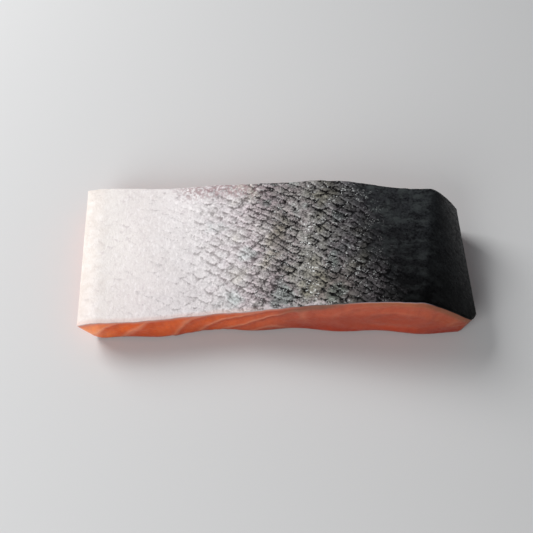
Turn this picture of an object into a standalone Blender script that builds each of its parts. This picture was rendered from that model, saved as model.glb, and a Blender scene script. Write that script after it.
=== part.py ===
"""A raw salmon fillet portion, skin side up, as one solid for Blender 4.5.

The fish lies across the slab: +X points from the pale belly edge to the dark back, +Y from the
tail-side cut to the head-side cut, and +Z away from the surface that the flesh rests on.
The skin is a lattice of overlapping scales whose free edges point to the tail. Four walls, two of
them knife cuts across the muscle flakes, run down from it to a flat underside.
Run it with: blender --background --python part.py
"""

import math
import random

import bmesh
import bpy
import numpy as np
from mathutils import Matrix, Vector

MM = 0.001

# Driving dimensions, in millimetres. A pair holds the value at the tail-side cut and the one at
# the head-side cut, and the form runs straight from the one to the other.
BELLY_EDGE_X = (-74.8, -76.5)
BACK_EDGE_X = (83.8, 80.4)
BELLY_THICKNESS = (15.4, 15.6)
LOIN_THICKNESS = (27.5, 28.5)
RISE_START_X = (-30.0, -50.0)
RISE_RUN = (82.0, 95.0)

# The back rounds over the loin and falls to the edge where the fillet left the dorsal fin.
SHOULDER_X = (60.0, 67.0)
SHOULDER_DROP = (17.0, 14.0)
SHOULDER_POWER = (1.25, 1.5)

# The trimmed belly edge thins out at its tip and is cut back underneath.
BELLY_TIP_RUN = 9.0
BELLY_TIP_DROP = (3.0, 1.5)
BELLY_UNDERCUT = 5.6
BACK_UNDERCUT = 3.0

# The two knife cuts, seen from above: Y of the skin's edge along X. Each bend gives the X where it
# starts, the X where it ends, and how far the cut has moved to -Y there.
TAIL_CUT_Y = -24.4
TAIL_CUT_BENDS = ((-12.0, -62.0, 3.8), (10.0, 70.0, 1.6))
HEAD_CUT_Y = 35.0
HEAD_CUT_BENDS = ((-28.0, 20.0, 3.0), (16.0, 62.0, 6.2))
BACK_CORNER_TRIM = 4.0

# The foot of the walls: soft flesh that spreads in waves, and is rounded where it meets the floor.
BELLY_FOOT_TRIM_RUN = 5.0
BELLY_FOOT_TRIM_DEPTH = 1.5
FOOT_WAVE = 0.6
FOOT_WAVE_LENGTH = 34.0
FOOT_WAVE_CREST_X = 12.0
FOOT_ROUND = 1.6
HALF_LENGTH = 78.0
HALF_WIDTH = 29.0

# Scales: half a scale wide across the fish for each column, one row for each step to the tail.
HALF_COLUMNS = 52
SCALE_ROWS = 24
SCALE_SHRINK = 0.24
SCALE_LEAN = 0.13
SCALE_TILT = 0.2
FLANK_SCALE_LIFT = 0.42
EDGE_SCALE_LIFT = 0.12
FLANK_CENTRE = 0.48
FLANK_SPREAD = 0.22
SCALE_STEP = 0.3
SCALE_ROUND = (0.16, 0.16)
HALF_EDGE_LIFT = 0.8
SCALE_JITTER = 0.07
SCALE_LIFT_RANGE = (0.8, 1.2)

# Sampling: the skin's profile is measured in steps, and its slope over a small share of its length.
PROFILE_STEPS = 801
SLOPE_STEP = 0.01

# Muscle flakes, parted by sheets of fat that fold into cones along the fish. The first list gives
# how far a sheet has come to the tail at each X of the belly. The sheets tilt, in millimetres of X
# for each one of height, from the first TILT before the first X of its run to the second after it.
FLAKE_PITCH = 9.0
FLAKE_RELIEF = 0.3
BELLY_FLAKES = (
    (-90.0, -19.2), (-72.2, -7.8), (-58.8, 0.8), (-40.3, 7.9), (-29.1, 15.4), (-18.9, 24.4), (40.0, 76.0),
)
BELLY_FLAKE_TILT = (0.6, 1.5)
BELLY_FLAKE_TILT_X = (-40.0, 10.0)
SKIN_BEND = 8.0
SKIN_BEND_DEPTH = 3.0
LOIN_CONE_CENTRE = (50.0, 13.0)
LOIN_CONE_STRETCH = 2.2
LOIN_CONE_SLOPE = 1.5
CONE_BLEND = 3.0

WALL_ROWS = 6
FOOT_ROWS = 3
JITTER_SEED = 7

# Skin colours from the belly to the back, each with the share of the skin where it ends.
SKIN_TONES = (
    ("skin_belly", (0.80, 0.76, 0.75), 0.34),
    ("skin_flank", (0.34, 0.33, 0.33), 0.66),
    ("skin_back", (0.018, 0.019, 0.021), 1.0),
)
SKIN_ROUGHNESS = 0.35
FLESH_TONE = ("flesh", (0.60, 0.14, 0.06))
FLESH_ROUGHNESS = 0.42


def between(pair, head_share):
    """The value at a share of the way from the tail-side cut to the head-side cut."""
    return pair[0] + (pair[1] - pair[0]) * head_share


def ease(share):
    """A smooth step from 0 to 1 as share goes from 0 to 1."""
    share = np.clip(share, 0.0, 1.0)
    return share * share * (3.0 - 2.0 * share)


def skin_height(x, head):
    """Height of the skin over the surface it lies on, before its scales."""
    belly = between(BELLY_THICKNESS, head)
    rise = ease((x - between(RISE_START_X, head)) / between(RISE_RUN, head))
    shoulder = between(SHOULDER_X, head)
    over = np.clip((x - shoulder) / (between(BACK_EDGE_X, head) - shoulder), 0.0, None)
    tip = np.clip((between(BELLY_EDGE_X, head) + BELLY_TIP_RUN - x) / BELLY_TIP_RUN, 0.0, None)
    return (
        belly
        + (between(LOIN_THICKNESS, head) - belly) * rise
        - between(SHOULDER_DROP, head) * over ** between(SHOULDER_POWER, head)
        - between(BELLY_TIP_DROP, head) * tip**2
    )


def across_share(skin_share):
    """Share of the way across the slab at a share of the skin's own length, so that scales keep
    their size where the back falls away. Scales shrink a little from the belly to the back."""
    mid = 0.5
    share = np.linspace(0.0, 1.0, PROFILE_STEPS)
    x = between(BELLY_EDGE_X, mid) + share * (between(BACK_EDGE_X, mid) - between(BELLY_EDGE_X, mid))
    steps = np.hypot(np.diff(x), np.diff(skin_height(x, mid)))
    run = np.concatenate([[0.0], np.cumsum(steps)])
    spread = skin_share * (1.0 + SCALE_SHRINK) - SCALE_SHRINK * skin_share**2
    return np.interp(spread, run / run[-1], share)


def bent(x, bends):
    """How far a knife cut has moved to -Y at an X."""
    return sum(depth * ease((x - start) / (end - start)) for start, end, depth in bends)


def tail_cut_y(x):
    """Y of the skin's edge at the tail-side cut, which flares out to the belly and the back."""
    corner = np.clip((x - BACK_EDGE_X[0] + BACK_CORNER_TRIM) / BACK_CORNER_TRIM, 0.0, 1.0)
    return TAIL_CUT_Y - bent(x, TAIL_CUT_BENDS) + BACK_CORNER_TRIM * corner**2


def head_cut_y(x):
    """Y of the skin's edge at the head-side cut, which bends in twice on its way to the back."""
    return HEAD_CUT_Y - bent(x, HEAD_CUT_BENDS)


def skin_point(skin_share, head):
    """A point of the skin: skin_share runs from the belly edge to the back, head from cut to cut."""
    left, right = between(BELLY_EDGE_X, head), between(BACK_EDGE_X, head)
    x = left + (right - left) * across_share(skin_share)
    y = tail_cut_y(x) + (head_cut_y(x) - tail_cut_y(x)) * head
    return Vector((float(x), float(y), float(skin_height(x, head))))


def foot_point(top, head):
    """Where the wall below an edge point of the skin would meet the floor if it weren't rounded."""
    left, right = between(BELLY_EDGE_X, head), between(BACK_EDGE_X, head)
    share = (top.x - left) / (right - left)
    x = top.x + BELLY_UNDERCUT * (1.0 - share) - BACK_UNDERCUT * share
    wave = FOOT_WAVE * math.cos(2.0 * math.pi * (x - FOOT_WAVE_CREST_X) / FOOT_WAVE_LENGTH)
    trim = max(0.0, 1.0 - (x - left - BELLY_UNDERCUT) / BELLY_FOOT_TRIM_RUN) ** 2
    y = top.y + (wave + BELLY_FOOT_TRIM_DEPTH * trim) * (1.0 - 2.0 * head)
    return Vector((x, y, 0.0))


def flake_phase(x, y, z, depth):
    """Counts the sheets of fat passed at a point, which lies at a depth under the skin: a whole
    number lies on a sheet. The sheets slope across the belly, bend to the back just under the
    skin, and close into cones round the middle of the loin."""
    bend = SKIN_BEND * math.exp(-depth / SKIN_BEND_DEPTH)
    start, end = BELLY_FLAKE_TILT_X
    tilt = between(BELLY_FLAKE_TILT, ease((x - start) / (end - start)))
    belly = np.interp(x - tilt * z - bend, *zip(*BELLY_FLAKES))
    centre_x, centre_z = LOIN_CONE_CENTRE
    loin = LOIN_CONE_SLOPE * math.hypot((x - centre_x) / LOIN_CONE_STRETCH, z - centre_z)
    nearer = -CONE_BLEND * math.log(math.exp(-belly / CONE_BLEND) + math.exp(-loin / CONE_BLEND))
    return (y + nearer) / FLAKE_PITCH


def scale_place(column, row):
    """(skin share, head share) of a place in the lattice of scales. Its files lean to the back on
    their way to the tail, and its rows sink to the tail on their way to the back."""
    share, head = column / HALF_COLUMNS, 1.0 - row / SCALE_ROWS
    lean = SCALE_LEAN * (0.5 - head) * math.sin(math.pi * share)
    tilt = SCALE_TILT * (0.5 - share) * math.sin(math.pi * head)
    return share + lean, head + tilt


def scale_lift(skin_share):
    """How far a scale's free edge stands up: most on the flank, least at the belly and the back."""
    flank = math.exp(-(((skin_share - FLANK_CENTRE) / FLANK_SPREAD) ** 2))
    return EDGE_SCALE_LIFT + (FLANK_SCALE_LIFT - EDGE_SCALE_LIFT) * flank


class SkinLattice:
    """Vertices at the corners of the scales and halfway along their free edges. Places are
    (column, row), counted from the belly edge and from the head-side cut. Inside the skin each
    place has a vertex on the raised edge of one scale and one under it, at the roots of the next."""

    def __init__(self, bm):
        rng = random.Random(JITTER_SEED)
        self.under = {}
        self.raised = {}
        for column in range(HALF_COLUMNS + 1):
            for row in range(SCALE_ROWS + 1):
                on_edge = column in (0, HALF_COLUMNS) or row in (0, SCALE_ROWS)
                if on_edge:
                    self.add_edge_corner(bm, column, row)
                elif (column + row) % 2 == 0:
                    self.add_place(bm, (column, row), (column, row), 1.0, rng)
                if (column + row) % 2 == 0 and row > 0:
                    self.add_half_places(bm, column, row, rng)

    def add_edge_corner(self, bm, column, row):
        point = skin_point(*scale_place(column, row))
        self.under[column, row] = self.raised[column, row] = bm.verts.new(point)

    def add_half_places(self, bm, column, row, rng):
        """Halfway along the two free edges of a scale, pushed out so that the edge is rounded."""
        for side in (-1, 1):
            if 0 <= column + side <= HALF_COLUMNS:
                name = (column + 0.5 * side, row - 0.5)
                place = (name[0] + SCALE_ROUND[0] * side, name[1] + SCALE_ROUND[1])
                self.add_place(bm, name, place, HALF_EDGE_LIFT, rng)

    def add_place(self, bm, name, place, lift_share, rng):
        column = place[0] + rng.uniform(-1, 1) * SCALE_JITTER
        row = place[1] + rng.uniform(-1, 1) * SCALE_JITTER
        share, head = scale_place(column, row)
        point = skin_point(share, head)
        slope = skin_point(share + SLOPE_STEP, head) - point
        outward = Vector((-slope.z, 0.0, slope.x)).normalized()
        lift = scale_lift(share) * lift_share * rng.uniform(*SCALE_LIFT_RANGE)
        self.under[name] = bm.verts.new(point - Vector((0.0, SCALE_STEP * lift_share, 0.0)))
        self.raised[name] = bm.verts.new(point + outward * lift)

    def add_half_scale(self, bm, column, row, side):
        """One side of the part of a scale that shows, and the small step below its free edge."""
        root = (column, max(row - 2, 0))
        upper = (column + 0.5 * side, row - 1.5)
        corner = (column + side, row - 1)
        lower = (column + 0.5 * side, row - 0.5)
        tip = (column, min(row, SCALE_ROWS))
        edge = [place for place in (corner, lower, tip) if place in self.under]
        rim = [self.under[root]] + ([self.under[upper]] if upper in self.under else [])
        rim += [self.under[corner]] + [self.raised[place] for place in edge[1:]]
        if column in (0, HALF_COLUMNS):
            rim.append(self.under[column, row - 1])
        hub = 1 if upper in self.under else 0
        rim = rim[hub:] + rim[:hub]
        for one, two in zip(rim[1:], rim[2:]):
            add_face(bm, (rim[0], one, two), side)
        for one, two in zip(edge, edge[1:]):
            first = self.under[one] if one is corner else self.raised[one]
            add_face(bm, (self.under[one], self.under[two], self.raised[two], first), side)

    def border(self):
        """The skin's edge as (vertex, head share), anticlockwise from the tail-side belly corner."""
        columns, rows = range(HALF_COLUMNS), range(SCALE_ROWS)
        keys = [(column, SCALE_ROWS) for column in columns]
        keys += [(HALF_COLUMNS, SCALE_ROWS - row) for row in rows]
        keys += [(HALF_COLUMNS - column, 0) for column in columns]
        keys += [(0, row) for row in rows]
        return [(self.under[key], scale_place(*key)[1]) for key in keys]


def add_face(bm, verts, side):
    """A face through the vertices, without repeats, wound for the left (-1) or right (1) side."""
    verts = list(dict.fromkeys(verts))
    if len(verts) > 2:
        bm.faces.new(verts if side < 0 else verts[::-1])


def add_skin(bm):
    """The scaly skin. Returns its border."""
    lattice = SkinLattice(bm)
    for row in range(1, SCALE_ROWS + 2):
        for column in range(HALF_COLUMNS + 1):
            cut_away = row > SCALE_ROWS and column in (0, HALF_COLUMNS)
            if (column + row) % 2 == 0 and not cut_away:
                for side in (-1, 1):
                    if 0 <= column + side <= HALF_COLUMNS:
                        lattice.add_half_scale(bm, column, row, side)
    return lattice.border()


def wall_levels():
    """(height share of the straight wall, angle of the rounded foot) for each ring, from the top."""
    straight = [(1.0 - step / WALL_ROWS, 0.0) for step in range(1, WALL_ROWS + 1)]
    rounded = [(0.0, 0.5 * math.pi * step / FOOT_ROWS) for step in range(1, FOOT_ROWS + 1)]
    return straight + rounded


def wall_point(top, head, level, middle):
    """A point on the wall below an edge point of the skin."""
    share, angle = level
    z = FOOT_ROUND * (1.0 - math.sin(angle)) + (top.z - FOOT_ROUND) * share
    point = top.lerp(foot_point(top, head), 1.0 - z / top.z)
    cut_side = {0.0: -1.0, 1.0: 1.0}.get(head, 0.0)
    phase = flake_phase(point.x, point.y, z, top.z - z)
    relief = FLAKE_RELIEF * math.cos(2.0 * math.pi * phase)
    point.y += cut_side * relief * math.sin(math.pi * share)
    inset = FOOT_ROUND * (1.0 - math.cos(angle))
    point.x -= (point.x - middle.x) * inset / HALF_LENGTH
    point.y -= (point.y - middle.y) * inset / HALF_WIDTH
    point.z = z
    return point


def add_walls(bm, border):
    """The cut faces and the two trimmed edges, ring by ring. Returns the ring on the floor."""
    middle = sum((vert.co for vert, _ in border), Vector()) / len(border)
    ring = [vert for vert, _ in border]
    for level in wall_levels():
        below = [bm.verts.new(wall_point(vert.co, head, level, middle)) for vert, head in border]
        for index, vert in enumerate(ring):
            after = (index + 1) % len(ring)
            bm.faces.new((vert, below[index], below[after], ring[after]))
        ring = below
    return ring


def add_underside(bm, ring):
    """The flat face that the fillet rests on, as a fan round its middle."""
    middle = bm.verts.new(sum((vert.co for vert in ring), Vector()) / len(ring))
    for index, vert in enumerate(ring):
        bm.faces.new((middle, ring[(index + 1) % len(ring)], vert))


def make_material(name, colour, roughness):
    material = bpy.data.materials.new(name)
    material.use_nodes = True
    material.diffuse_color = (*colour, 1.0)
    shader = material.node_tree.nodes["Principled BSDF"]
    shader.inputs["Base Color"].default_value = (*colour, 1.0)
    shader.inputs["Roughness"].default_value = roughness
    shader.inputs["Metallic"].default_value = 0.0
    return material


def paint(mesh, skin_faces):
    """Flesh everywhere but on the skin, whose tone steps from the belly to the back."""
    mesh.materials.append(make_material(*FLESH_TONE, FLESH_ROUGHNESS))
    for name, colour, _ in SKIN_TONES:
        mesh.materials.append(make_material(name, colour, SKIN_ROUGHNESS))
    left, right = BELLY_EDGE_X[0] * MM, BACK_EDGE_X[0] * MM
    for polygon in mesh.polygons[:skin_faces]:
        share = (polygon.center.x - left) / (right - left)
        tones_passed = sum(share > end for _, _, end in SKIN_TONES[:-1])
        polygon.material_index = 1 + tones_passed


def stand_on_origin(mesh):
    """Moves the mesh so that the middle of its box's underside is at the origin."""
    corners = np.array([vert.co for vert in mesh.vertices])
    middle = (corners.min(axis=0) + corners.max(axis=0)) / 2.0
    mesh.transform(Matrix.Translation((-middle[0], -middle[1], -corners[:, 2].min())))


def build_fillet():
    bm = bmesh.new()
    border = add_skin(bm)
    skin_faces = len(bm.faces)
    add_underside(bm, add_walls(bm, border))
    bmesh.ops.scale(bm, vec=(MM, MM, MM), verts=bm.verts)
    mesh = bpy.data.meshes.new("fillet")
    bm.to_mesh(mesh)
    bm.free()
    paint(mesh, skin_faces)
    stand_on_origin(mesh)
    fillet = bpy.data.objects.new("fillet", mesh)
    bpy.context.scene.collection.objects.link(fillet)
    return fillet


def main():
    for obj in list(bpy.data.objects):
        bpy.data.objects.remove(obj)
    build_fillet()


main()
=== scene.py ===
"""The looks of a raw salmon fillet portion: wet, scaly skin over flaky orange flesh.

Two closed pieces stand for the one solid of the frame: the skin, a thin sheet whose scales are
true relief, and the flesh below it, with two knife cuts, two trimmed edges and an underside.
Shapes are worked out in millimetres, in the plan coordinates that the model was drawn in, and
then moved so that their box has the same middle as the solid's.
"""

import math
from typing import NamedTuple

import bpy
import numpy as np
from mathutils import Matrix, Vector


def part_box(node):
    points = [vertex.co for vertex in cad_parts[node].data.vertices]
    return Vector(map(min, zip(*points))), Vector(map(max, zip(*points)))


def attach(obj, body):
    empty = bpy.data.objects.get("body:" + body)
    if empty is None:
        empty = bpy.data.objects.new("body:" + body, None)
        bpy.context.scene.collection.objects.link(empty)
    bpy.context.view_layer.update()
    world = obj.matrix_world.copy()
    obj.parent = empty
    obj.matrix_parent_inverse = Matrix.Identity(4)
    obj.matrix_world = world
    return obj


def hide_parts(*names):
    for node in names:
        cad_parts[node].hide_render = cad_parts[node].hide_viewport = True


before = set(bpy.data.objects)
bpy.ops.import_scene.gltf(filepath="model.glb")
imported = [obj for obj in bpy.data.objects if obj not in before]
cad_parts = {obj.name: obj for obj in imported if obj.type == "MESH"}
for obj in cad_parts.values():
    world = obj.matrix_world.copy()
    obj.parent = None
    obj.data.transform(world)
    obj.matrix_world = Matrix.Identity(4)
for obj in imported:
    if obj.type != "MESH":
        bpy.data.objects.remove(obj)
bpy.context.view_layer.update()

MM = 0.001

# Driving dimensions of the solid, in millimetres. A pair is for the tail-side and head-side cuts.
BELLY_EDGE_X = (-74.8, -76.5)
BACK_EDGE_X = (83.8, 80.4)
BELLY_THICKNESS = (15.4, 15.6)
LOIN_THICKNESS = (27.5, 28.5)
RISE_START_X = (-30.0, -50.0)
RISE_RUN = (82.0, 95.0)
SHOULDER_X = (60.0, 67.0)
SHOULDER_DROP = (17.0, 14.0)
SHOULDER_POWER = (1.25, 1.5)
BELLY_TIP_RUN = 9.0
BELLY_TIP_DROP = (3.0, 1.5)
BELLY_UNDERCUT = 5.6
BACK_UNDERCUT = 3.0

# The two knife cuts, seen from above: Y of the skin's edge along X. Each bend gives the X where it
# starts, the X where it ends, and how far the cut has moved to -Y there.
TAIL_CUT_Y = -24.4
TAIL_CUT_BENDS = ((-12.0, -62.0, 3.8), (10.0, 70.0, 1.6))
HEAD_CUT_Y = 35.0
HEAD_CUT_BENDS = ((-28.0, 20.0, 3.0), (16.0, 62.0, 6.2))
BACK_CORNER_TRIM = 4.0

# The foot of the walls, which spreads in waves and is rounded where it meets the floor.
BELLY_FOOT_TRIM_RUN = 5.0
BELLY_FOOT_TRIM_DEPTH = 1.5
FOOT_WAVE = 0.6
FOOT_WAVE_LENGTH = 34.0
FOOT_WAVE_CREST_X = 12.0
FOOT_ROUND = 1.6
HALF_LENGTH = 78.0
HALF_WIDTH = 29.0

# Round figures for the slab, by which distances from its sides are reckoned.
SLAB_LENGTH = 160.0
SLAB_WIDTH = 60.0

# The lattice of scales, as in the solid: half a scale wide for each column, and rows to the tail.
HALF_COLUMNS = 52
SCALE_ROWS = 24
SCALE_SHRINK = 0.24
SCALE_LEAN = 0.13
SCALE_TILT = 0.2
ROW_PITCH = 2.6
LATTICE_ROUNDS = 8

# One scale: the power of its leaf shape, the width of its lip in millimetres, and its height, which
# falls from a crown that leans aside to a root two rows away. The bare skin has the middle height.
# The last value is a step in rows just over a free edge.
LEAF_POWER = 1.9
LIP = 0.4
SCALE_HEIGHT_RANGE = (0.35, 1.55)
CROWN_LEAN_RANGE = (-0.675, 0.225)
CROWN_FALL = 0.8
ROWS_TO_ROOT = 2.0
ROOT_POWER = 1.3
MIDDLE_HEIGHT = 0.45
JUST_BEYOND = 0.001

# How far free edges stand up, in millimetres: little at the belly and the back, most on the flank,
# whose end at the back leans round a pivot along the fish.
FLANK_SCALE_LIFT = 0.62
EDGE_SCALE_LIFT = (0.02, 0.05)
FLANK_CENTRE = 0.47
BELLY_SPREAD = 0.145
BACK_SPREAD = 0.155
BACK_LEAN = 0.10
BACK_LEAN_PIVOT = 0.45
BACK_LEAN_RUN = (0.55, 0.7)

# Marks of the scales, for their colours, most of them painted light and shade. The crevice is a
# painted shadow: the dark line under the free edge of the scale above. Each scale has its own width
# and strength of it, and it is darkest at the tip and fades to the back. The rim is painted light
# along a scale's own free edge, and the glint a painted highlight on it. Lit is painted light, round
# a mean, lighter on the rim and darker across each scale to the back.
# The pairs for the tip and for the glint are the middles and the spreads of hills.
CREVICE_WIDTH_RANGE = (0.5, 1.0)
CREVICE_STRENGTH_RANGE = (0.7, 1.3)
CREVICE_POWER = 1.7
CREVICE_BASE = 0.72
CREVICE_AT_TIP = 0.48
CREVICE_TIP = (-0.1, 0.4)
CREVICE_LOSS = 0.35
CREVICE_LOSS_RUN = 0.5
RIM_LIGHT_WIDTH = 1.0
RIM_LIGHT_END = 0.8
GLINT_GAP = (0.45, 0.3)
GLINT_ASIDE = (-0.15, 0.5)
LIT_MEAN = 0.46
LIT_RIM = 0.34
LIT_TILT = 0.28

# The fine surface of the skin. Its swell is weak at the belly edge and full from a share inwards.
SKIN_THICKNESS = 0.8
SKIN_EDGE_DEPTHS = (0.35, SKIN_THICKNESS)
SKIN_EDGE_MARKS = {"crevice_shade": 0.0, "lit": 0.5, "tone": 0.5, "glint": 0.0}
SKIN_GRID = (430, 165)
SWELL_AT_BELLY = 0.3
SWELL_FULL_FROM = 0.14
RIM_DROP = 0.3
RIM_WIDTH = 1.1

# Muscle flakes, parted by sheets of fat that fold into cones along the fish. The first list gives
# how far a sheet has come to the tail at each X of the belly. The sheets' tilt is in millimetres of
# X for each one of height, and goes from its first value to its second between two X.
FLAKE_PITCH = 9.0
FLAKE_RELIEF = 0.22
BELLY_FLAKES = (
    (-90.0, -19.2), (-72.2, -7.8), (-58.8, 0.8), (-40.3, 7.9), (-29.1, 15.4), (-18.9, 24.4), (40.0, 76.0),
)
BELLY_FLAKE_TILT = (0.6, 1.5)
BELLY_FLAKE_TILT_X = (-40.0, 10.0)
SKIN_BEND = 8.0
SKIN_BEND_DEPTH = 3.0
LOIN_CONE_CENTRE = (50.0, 13.0)
LOIN_CONE_STRETCH = 2.2
LOIN_CONE_SLOPE = 1.5
CONE_BLEND = 3.0

# The fine surface of the flesh. Relief fades in over one part in so many of the slab: of its length
# on the walls, and of its length and width on the underside, where the mark for its looks fades in
# faster by a gain. The foot of the cuts is craggy round an X, over a spread, and up to a height.
FLESH_GRID = (300, 112)
WALL_LEVELS = 44
FOOT_LEVELS = 5
WALL_FADE = 30.0
UNDERSIDE_FADE = (25.0, 10.0)
UNDERSIDE_RELIEF = 0.2
UNDERSIDE_RIDGE_POWER = 3
UNDERSIDE_MARK_GAIN = 2.0
CRAG_X = (-30.0, 13.0)
CRAG_HEIGHT = 5.0

# The steps of the skin's profile, the share over which its slope is measured, and the angle in
# degrees from which an edge stays sharp.
PROFILE_STEPS = 801
SLOPE_STEP = 0.002
SHARP_ANGLE = 62.0

# Layers of smooth noise, each as its height, the width of its hills and its random draw: in steps
# of the lattice for its columns and rows, and in millimetres for the rest.
TAIL_EDGE_NOISE = ((0.2, 6.5, 20), (0.12, 2.1, 21))
HEAD_EDGE_NOISE = ((0.2, 6.5, 30), (0.12, 2.1, 31))
COLUMN_NOISE = ((0.32, 1.6, 2), (0.08, 0.6, 12))
ROW_NOISE = ((0.42, 1.7, 3), (0.08, 0.6, 13))
SKIN_SWELL = ((0.25, 13.0, 5),)
SKIN_GRAIN = ((0.03, 1.1, 6),)
CUT_NOISE = ((0.22, 5.0, 8), (0.07, 1.3, 9))
TRIMMED_NOISE = ((0.35, 5.0, 10),)
CRAG_NOISE = ((0.55, 1.6, 11),)

# Random draws of one number for each scale. Their tables have spare places round the lattice, which
# starts at FIRST_SCALE in both directions. The smooth noise's table repeats.
HEIGHT_DRAW = 1
TONE_DRAW = 4
LEAN_DRAW = 7
OVERHANG_DRAW = 14
GLINT_DRAW = 15
SPARE_SCALES = (9, 13)
FIRST_SCALE = 4
NOISE_TABLE = (97, 89)
SEED = 7


def between(pair, share):
    """The value at a share of the way from the first of a pair to the second."""
    return pair[0] + (pair[1] - pair[0]) * share


def ease(share):
    """A smooth step from 0 to 1 as share goes from 0 to 1."""
    share = np.clip(share, 0.0, 1.0)
    return share * share * (3.0 - 2.0 * share)


def climb(value, start, end):
    """A smooth step from 0 to 1 as a value goes from start to end."""
    return ease((value - start) / (end - start))


def hill(value, middle, spread):
    """A bell curve of height 1."""
    return np.exp(-(((value - middle) / spread) ** 2))


def value_noise(x, y, cell, draw):
    """Smooth noise from -1 to 1, with hills about a cell wide."""
    table = np.random.default_rng(SEED + draw).uniform(-1.0, 1.0, NOISE_TABLE)
    across, along = x / cell, y / cell
    column, row = np.floor(across).astype(int), np.floor(along).astype(int)
    across, along = ease(across - column), ease(along - row)
    columns = [(column + step) % NOISE_TABLE[0] for step in (0, 1)]
    rows = [(row + step) % NOISE_TABLE[1] for step in (0, 1)]
    return between([between([table[i, j] for j in rows], along) for i in columns], across)


def layered_noise(x, y, layers):
    """Smooth noise in layers of (height, cell, draw)."""
    return sum(height * value_noise(x, y, cell, draw) for height, cell, draw in layers)


def from_sides(share, head, length, width):
    """How far a place is from the nearest side of a slab."""
    return np.minimum.reduce([share * length, (1.0 - share) * length, head * width, (1.0 - head) * width])


def skin_height(x, head):
    """Height of the skin over the floor, before its scales."""
    belly = between(BELLY_THICKNESS, head)
    rise = ease((x - between(RISE_START_X, head)) / between(RISE_RUN, head))
    shoulder = between(SHOULDER_X, head)
    over = np.clip((x - shoulder) / (between(BACK_EDGE_X, head) - shoulder), 0.0, None)
    tip = np.clip((between(BELLY_EDGE_X, head) + BELLY_TIP_RUN - x) / BELLY_TIP_RUN, 0.0, None)
    return (
        belly
        + (between(LOIN_THICKNESS, head) - belly) * rise
        - between(SHOULDER_DROP, head) * over ** between(SHOULDER_POWER, head)
        - between(BELLY_TIP_DROP, head) * tip**2
    )


def skin_run():
    """(share of the way across, share of the skin's own length) pairs, halfway between the cuts."""
    mid = 0.5
    share = np.linspace(0.0, 1.0, PROFILE_STEPS)
    x = between(BELLY_EDGE_X, mid) + share * (between(BACK_EDGE_X, mid) - between(BELLY_EDGE_X, mid))
    steps = np.hypot(np.diff(x), np.diff(skin_height(x, mid)))
    run = np.concatenate([[0.0], np.cumsum(steps)])
    return share, run / run[-1]


ACROSS, ALONG_SKIN = skin_run()


def bent(x, bends):
    """How far a knife cut has moved to -Y at an X."""
    return sum(depth * climb(x, start, end) for start, end, depth in bends)


def ragged(x, layers):
    """How far the skin's edge strays from a knife line at an X."""
    return layered_noise(x, np.zeros_like(x), layers)


def tail_cut_y(x):
    """Y of the skin's edge at the tail-side cut, which flares out to the belly and the back."""
    corner = np.clip((x - BACK_EDGE_X[0] + BACK_CORNER_TRIM) / BACK_CORNER_TRIM, 0.0, 1.0)
    knife_line = TAIL_CUT_Y - bent(x, TAIL_CUT_BENDS) + BACK_CORNER_TRIM * corner**2
    return knife_line + ragged(x, TAIL_EDGE_NOISE)


def head_cut_y(x):
    """Y of the skin's edge at the head-side cut, which bends in twice on its way to the back."""
    return HEAD_CUT_Y - bent(x, HEAD_CUT_BENDS) + ragged(x, HEAD_EDGE_NOISE)


def skin_points(share, head):
    """Points of the skin before its scales: share runs from the belly edge to the back."""
    left, right = between(BELLY_EDGE_X, head), between(BACK_EDGE_X, head)
    spread = share * (1.0 + SCALE_SHRINK) - SCALE_SHRINK * share**2
    x = left + (right - left) * np.interp(spread, ALONG_SKIN, ACROSS)
    y = tail_cut_y(x) + (head_cut_y(x) - tail_cut_y(x)) * head
    return np.stack([x, y, skin_height(x, head)], axis=-1)


def skin_normals(share, head):
    """Directions straight out of the skin."""
    right, left = np.minimum(share + SLOPE_STEP, 1.0), np.maximum(share - SLOPE_STEP, 0.0)
    headward, tailward = np.minimum(head + SLOPE_STEP, 1.0), np.maximum(head - SLOPE_STEP, 0.0)
    across = skin_points(right, head) - skin_points(left, head)
    along = skin_points(share, headward) - skin_points(share, tailward)
    normal = np.cross(across, along)
    return normal / np.linalg.norm(normal, axis=-1, keepdims=True)


def foot_points(top, head):
    """Where the wall below an edge point of the skin would meet the floor if it weren't rounded.
    It follows the knife line, and not the ragged edge of the skin."""
    left, right = between(BELLY_EDGE_X, head), between(BACK_EDGE_X, head)
    share = (top[:, 0] - left) / (right - left)
    x = top[:, 0] + BELLY_UNDERCUT * (1.0 - share) - BACK_UNDERCUT * share
    wave = FOOT_WAVE * np.cos(2.0 * math.pi * (x - FOOT_WAVE_CREST_X) / FOOT_WAVE_LENGTH)
    trim = np.clip(1.0 - (x - left - BELLY_UNDERCUT) / BELLY_FOOT_TRIM_RUN, 0.0, None) ** 2
    y = top[:, 1] + (wave + BELLY_FOOT_TRIM_DEPTH * trim) * (1.0 - 2.0 * head)
    y -= between((ragged(top[:, 0], TAIL_EDGE_NOISE), ragged(top[:, 0], HEAD_EDGE_NOISE)), head)
    return np.stack([x, y, np.zeros_like(x)], axis=-1)


class ScaleAt(NamedTuple):
    """The scale at each place: the column and the row of its tip, how far aside of its middle the
    place is, and the gap in rows between the place and a free edge."""

    column: np.ndarray
    row: np.ndarray
    aside: np.ndarray
    gap: np.ndarray


def lattice_places(share, head):
    """(column, row) in the lattice of scales. Its files lean to the back on their way to the tail,
    its rows sink to the tail on their way to the back, and both wander a little."""
    upright, level = share, head
    for _ in range(LATTICE_ROUNDS):
        upright = share - SCALE_LEAN * (0.5 - level) * np.sin(math.pi * upright)
        level = head - SCALE_TILT * (0.5 - upright) * np.sin(math.pi * level)
    column, row = upright * HALF_COLUMNS, (1.0 - level) * SCALE_ROWS
    aside, down = layered_noise(column, row, COLUMN_NOISE), layered_noise(column, row, ROW_NOISE)
    return column + aside, row + down


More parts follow.
